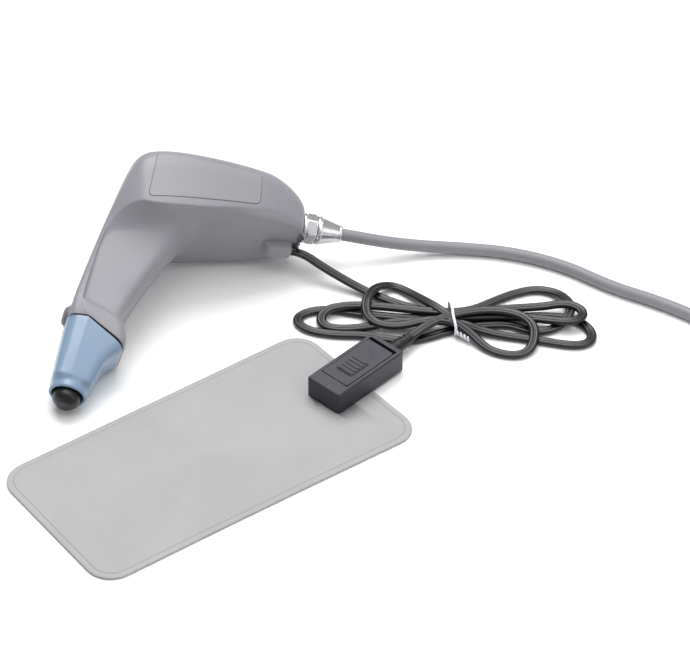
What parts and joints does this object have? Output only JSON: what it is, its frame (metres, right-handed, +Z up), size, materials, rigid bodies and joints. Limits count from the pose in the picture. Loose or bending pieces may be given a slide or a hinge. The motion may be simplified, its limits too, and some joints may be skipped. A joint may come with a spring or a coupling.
{
  "type": "treatment handpiece with return pad",
  "caption": "Angled treatment handpiece with blue nose cone, trigger button, gland and hose, plus a tied lead ending in a lever clamp on a flat return pad.",
  "frame": {"origin": "centre of the pad's underside, on the surface that everything lies on", "axes": "+Z up from that surface, +Y away from the handpiece's electrode end towards its body, +X along the handpiece body towards the gland side"},
  "size_m": [0.4937, 0.3058, 0.082],
  "materials": {
    "handle_grey": "fine satin texture",
    "panel_grey": "smooth satin inlay",
    "nose_blue": "glossy light blue",
    "electrode_black": "polished black",
    "seal_rubber": "matt black",
    "button_grey": "satin",
    "gland_metal": "satin nickel plate",
    "fastener_steel": "zinc plated",
    "contact_brass": "plain",
    "board_green": "solder mask",
    "ferrite": "sintered",
    "winding_copper": "enamelled wire",
    "insulator_white": "moulded insulator",
    "hose_grey": "satin jacket",
    "lead_black": "soft satin jacket",
    "clamp_charcoal": "fine texture",
    "pad_film": "soft laminated foam film",
    "pad_gel": "conductive gel layer",
    "tie_paper": "paper covered wire",
    "plug_black": "moulded"
  },
  "bodies": {
    "set": {"outer_shell": "handle_grey", "inner_shell": "handle_grey", "side_panel_upper": "panel_grey", "side_panel_lower": "panel_grey", "nose_gasket": "seal_rubber", "nose_cone": "nose_blue", "electrode_tip": "electrode_black", "tip_seal": "seal_rubber", "electrode_holder": "insulator_white", "electrode_rod": "contact_brass", "button_collar": "button_grey", "button_switch": "electrode_black", "switch_board": "board_green", "main_board": "board_green", "transformer_core": "ferrite", "transformer_winding": "winding_copper", "board_capacitors": "plug_black", "board_screws": "fastener_steel", "shell_screws": "fastener_steel", "gland_body": "gland_metal", "gland_nut": "gland_metal", "gland_seal": "seal_rubber", "gland_washer": "fastener_steel", "gland_locknut": "gland_metal", "cable_core": "lead_black", "lead_port": "handle_grey", "lead_grommet": "lead_black", "hose": "hose_grey", "hose_tail": "hose_grey", "hose_coil": "hose_grey", "lead_tube": "lead_black", "clamp_lead_tube": "lead_black", "lead_hank": "lead_black", "twist_tie": "tie_paper", "plug_boot": "plug_black", "plug_shell": "gland_metal", "plug_insert": "insulator_white", "plug_contacts": "contact_brass", "pad_conductor": "pad_gel", "pad_border": "pad_film", "pad_backing": "pad_film", "clamp_base": "clamp_charcoal", "clamp_housing": "clamp_charcoal", "lever_pin": "fastener_steel", "clamp_contacts": "contact_brass", "clamp_screws": "fastener_steel", "clamp_strain_relief": "lead_black"},
    "button": {"trigger_button": "button_grey"},
    "lever": {"clamp_lever": "clamp_charcoal", "lever_thumb_pad": "clamp_charcoal"},
    "coupling": {"coupling_ring": "gland_metal"}
  },
  "joints": [
    {"name": "button_press", "type": "slide", "parent": "set", "child": "button", "axis": [0.9505, -0.1178, -0.2877], "range_m": [0, 0.0012], "stiffness_N_per_m": 900, "springref_m": -0.0012},
    {"name": "lever_open", "type": "hinge", "parent": "set", "child": "lever", "pos_m": [0.09129, 0.06992, 0.0114], "axis": [-0.7254, 0.6884, 0], "range_deg": [0, 70]},
    {"name": "coupling_turn", "type": "hinge", "parent": "set", "child": "coupling", "pos_m": [0.37905, 0.19767, 0.0097], "axis": [0.1063, 0.9943, 0], "continuous": true}
  ]
}
